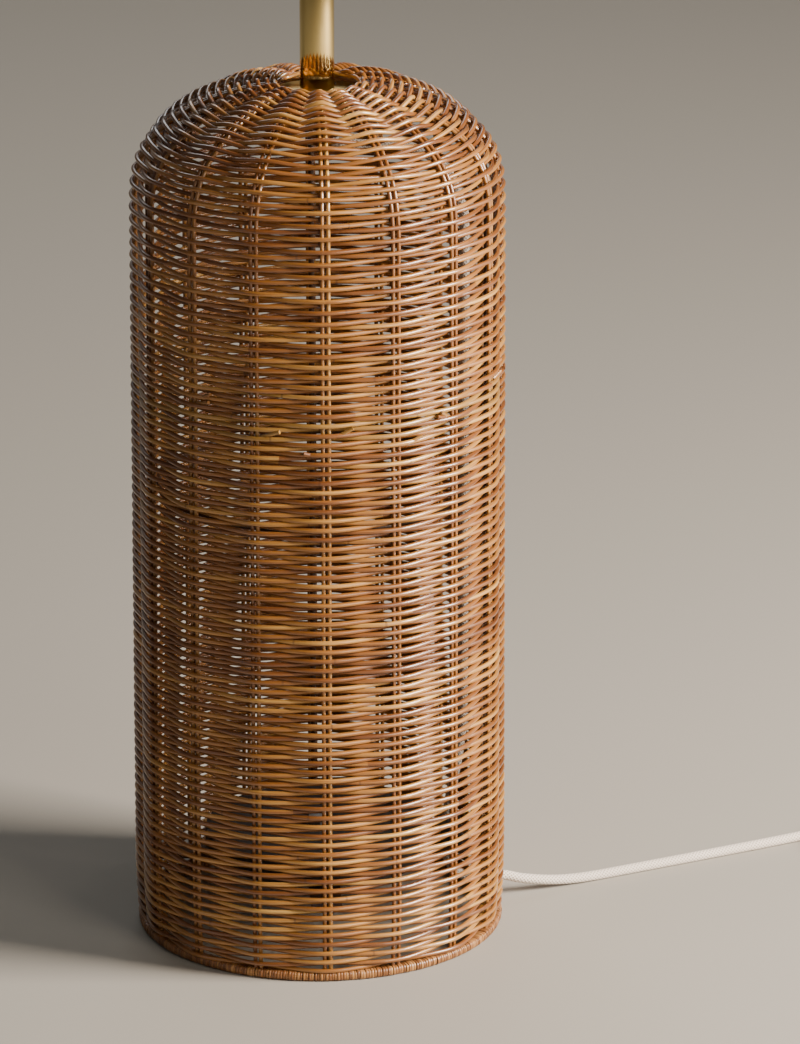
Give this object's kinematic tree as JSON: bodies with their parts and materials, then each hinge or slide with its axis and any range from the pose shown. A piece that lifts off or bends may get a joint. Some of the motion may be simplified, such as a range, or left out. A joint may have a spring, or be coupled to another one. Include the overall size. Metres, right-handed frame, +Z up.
{
  "type": "table lamp body",
  "caption": "Tall domed lamp body of woven cane on a wrapped rim, with a brass stem, a switched lampholder with shade rings, and a braided flex with plug.",
  "frame": {"origin": "on the floor under the stem's axis, at the middle of the wrapped foot", "axes": "+Z up along the stem, -Y towards the front, +X towards the side where the flex leaves"},
  "size_m": [0.5797, 0.2861, 0.7486],
  "materials": {
    "cane": "lacquered cane, glossy",
    "cane_strip": "lacquered cane strip, glossy",
    "frame_steel": "matt dark paint",
    "cast_iron": "rough, painted black",
    "zinc": "zinc plated",
    "polished_brass": "polished",
    "ceramic": "glazed white",
    "urea": "satin",
    "nylon": "satin",
    "braid": "braided cotton",
    "tie": "matt"
  },
  "bodies": {
    "root": {"woven_wall": "cane", "woven_upper_wall": "cane", "woven_dome": "cane", "stake_pair_01": "cane", "stake_pair_02": "cane", "stake_pair_03": "cane", "stake_pair_04": "cane", "stake_pair_05": "cane", "stake_pair_06": "cane", "stake_pair_07": "cane", "stake_pair_08": "cane", "stake_pair_09": "cane", "stake_pair_10": "cane", "stake_pair_11": "cane", "stake_pair_12": "cane", "stake_pair_13": "cane", "stake_pair_14": "cane", "stake_pair_15": "cane", "stake_pair_16": "cane", "foot_binding": "cane_strip", "foot_hoop": "frame_steel", "crown_hoop": "frame_steel", "middle_hoop": "frame_steel", "base_cross": "frame_steel", "frame_rib_1": "frame_steel", "frame_rib_2": "frame_steel", "frame_rib_3": "frame_steel", "frame_rib_4": "frame_steel", "ballast_disc": "cast_iron", "base_washer": "zinc", "base_nut": "zinc", "ballast_bolt": "zinc", "crown_nut": "zinc", "threaded_rod": "zinc", "holder_grub_screw": "zinc", "plug_screw": "zinc", "crown_disc": "polished_brass", "stem_tube": "polished_brass", "stem_cap": "polished_brass", "holder_cap": "polished_brass", "holder_shell": "polished_brass", "screw_shell": "polished_brass", "centre_contact": "polished_brass", "plug_live_pin": "polished_brass", "plug_neutral_pin": "polished_brass", "plug_earth_pin": "polished_brass", "holder_liner": "ceramic", "plug_base": "urea", "plug_cover": "urea", "cord_clamp": "nylon", "switch_body": "nylon", "flex": "braid", "flex_coil": "braid", "flex_tail": "braid", "inner_lead": "braid", "coil_tie": "tie"},
    "switch": {"switch_shaft": "polished_brass", "switch_knob": "polished_brass"},
    "lower_ring": {"shade_ring_lower": "polished_brass"},
    "upper_ring": {"shade_ring_upper": "polished_brass"}
  },
  "joints": [
    {"name": "switch_turn", "type": "hinge", "parent": "root", "child": "switch", "pos_m": [0, 0, 0.6966], "axis": [0, -1, 0], "continuous": true},
    {"name": "lower_ring_thread", "type": "slide", "parent": "root", "child": "lower_ring", "axis": [0, 0, 1], "range_m": [-0.008, 0.0017]},
    {"name": "upper_ring_thread", "type": "slide", "parent": "root", "child": "upper_ring", "axis": [0, 0, 1], "range_m": [0, 0.026]}
  ]
}
